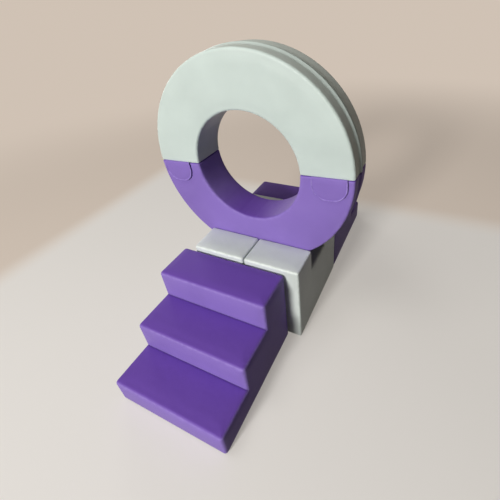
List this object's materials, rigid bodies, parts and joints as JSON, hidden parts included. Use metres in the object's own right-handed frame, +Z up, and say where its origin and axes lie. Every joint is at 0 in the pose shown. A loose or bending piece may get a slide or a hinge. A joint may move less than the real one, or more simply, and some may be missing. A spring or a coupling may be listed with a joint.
{
  "type": "soft play foam climber",
  "caption": "Soft foam play climber: steps up to a slotted base, a standing split ring to crawl through, and steps down, in zipped wipe-clean covers",
  "frame": {"origin": "on the floor, below the middle of the ring and half way along the climber from the foot of the front steps to the foot of the rear ones", "axes": "+X to the right when facing the front steps, +Y from the front steps to the rear ones along the climber's length, +Z up"},
  "size_m": [1.0578, 1.877, 1.404],
  "materials": {
    "purple": "soft satin synthetic leather",
    "mint": "soft satin synthetic leather",
    "pale_grey": "soft satin synthetic leather",
    "foam": "open-cell foam",
    "non_slip": "dotted non-slip fabric",
    "fastener": "hook and loop tape",
    "slider": "satin enamel"
  },
  "bodies": {
    "right_base": {"right_base_cover": "pale_grey", "right_base_core": "foam", "right_base_base_panel": "non_slip", "right_base_zip": "pale_grey", "right_base_front_loop_strip": "fastener", "right_base_rear_loop_strip": "fastener", "right_base_side_loop_strip": "fastener"},
    "right_base_zip_slider": {"right_base_zip_slider": "slider"},
    "left_base": {"left_base_cover": "pale_grey", "left_base_core": "foam", "left_base_base_panel": "non_slip", "left_base_zip": "pale_grey", "left_base_front_loop_strip": "fastener", "left_base_rear_loop_strip": "fastener", "left_base_side_hook_strip": "fastener"},
    "left_base_zip_slider": {"left_base_zip_slider": "slider"},
    "front_steps": {"front_steps_cover": "purple", "front_steps_core": "foam", "front_steps_base_panel": "non_slip", "front_steps_zip": "purple", "front_steps_hook_strip": "fastener"},
    "front_steps_zip_slider": {"front_steps_zip_slider": "slider"},
    "rear_steps": {"rear_steps_cover": "purple", "rear_steps_core": "foam", "rear_steps_base_panel": "non_slip", "rear_steps_zip": "purple", "rear_steps_hook_strip": "fastener"},
    "rear_steps_zip_slider": {"rear_steps_zip_slider": "slider"},
    "lower_ring": {"lower_ring_cover": "purple", "lower_ring_core": "foam", "lower_ring_rim_zip": "purple", "front_left_flap_loop_pad": "fastener", "front_right_flap_loop_pad": "fastener", "rear_left_flap_loop_pad": "fastener", "rear_right_flap_loop_pad": "fastener"},
    "lower_ring_zip_slider": {"lower_ring_zip_slider": "slider"},
    "upper_arch": {"upper_arch_cover": "mint", "upper_arch_core": "foam", "upper_arch_rim_zip": "mint"},
    "upper_arch_zip_slider": {"upper_arch_zip_slider": "slider"},
    "front_left_flap": {"front_left_flap": "purple", "front_left_flap_hook_pad": "fastener"},
    "front_right_flap": {"front_right_flap": "purple", "front_right_flap_hook_pad": "fastener"},
    "rear_left_flap": {"rear_left_flap": "purple", "rear_left_flap_hook_pad": "fastener"},
    "rear_right_flap": {"rear_right_flap": "purple", "rear_right_flap_hook_pad": "fastener"}
  },
  "joints": [
    {"name": "front_steps_pull_away", "type": "slide", "parent": "right_base", "child": "front_steps", "axis": [0, -1, 0], "range_m": [0, 0.4]},
    {"name": "rear_steps_pull_away", "type": "slide", "parent": "right_base", "child": "rear_steps", "axis": [0, 1, 0], "range_m": [0, 0.4]},
    {"name": "left_base_pull_away", "type": "slide", "parent": "right_base", "child": "left_base", "axis": [-1, 0, 0], "range_m": [0, 0.2]},
    {"name": "lower_ring_lift_out", "type": "slide", "parent": "right_base", "child": "lower_ring", "axis": [0, 0, 1], "range_m": [0, 0.25]},
    {"name": "upper_arch_lift_off", "type": "slide", "parent": "lower_ring", "child": "upper_arch", "axis": [-0.0349, 0, 0.9994], "range_m": [0, 0.3]},
    {"name": "front_left_flap_hinge", "type": "hinge", "parent": "upper_arch", "child": "front_left_flap", "pos_m": [-0.41389, -0.1169, 0.865], "axis": [-0.9994, 0, -0.0349], "range_deg": [0, 170]},
    {"name": "front_right_flap_hinge", "type": "hinge", "parent": "upper_arch", "child": "front_right_flap", "pos_m": [0.4136, -0.1169, 0.8939], "axis": [-0.9994, 0, -0.0349], "range_deg": [0, 170]},
    {"name": "rear_left_flap_hinge", "type": "hinge", "parent": "upper_arch", "child": "rear_left_flap", "pos_m": [-0.41389, 0.0889, 0.865], "axis": [0.9994, 0, 0.0349], "range_deg": [0, 170]},
    {"name": "rear_right_flap_hinge", "type": "hinge", "parent": "upper_arch", "child": "rear_right_flap", "pos_m": [0.4136, 0.0889, 0.8939], "axis": [0.9994, 0, 0.0349], "range_deg": [0, 170]},
    {"name": "front_steps_zip_travel", "type": "slide", "parent": "front_steps", "child": "front_steps_zip_slider", "axis": [1, 0, 0], "range_m": [0, 0.46]},
    {"name": "rear_steps_zip_travel", "type": "slide", "parent": "rear_steps", "child": "rear_steps_zip_slider", "axis": [1, 0, 0], "range_m": [0, 0.46]},
    {"name": "left_base_zip_travel", "type": "slide", "parent": "left_base", "child": "left_base_zip_slider", "axis": [1, 0, 0], "range_m": [0, 0.17]},
    {"name": "right_base_zip_travel", "type": "slide", "parent": "right_base", "child": "right_base_zip_slider", "axis": [1, 0, 0], "range_m": [0, 0.17]},
    {"name": "upper_arch_zip_travel", "type": "hinge", "parent": "upper_arch", "child": "upper_arch_zip_slider", "pos_m": [0, -0.014, 0.8753], "axis": [0, 1, 0], "range_deg": [0, 150]},
    {"name": "lower_ring_zip_travel", "type": "hinge", "parent": "lower_ring", "child": "lower_ring_zip_slider", "pos_m": [0, -0.014, 0.8753], "axis": [0, -1, 0], "range_deg": [0, 60]}
  ]
}
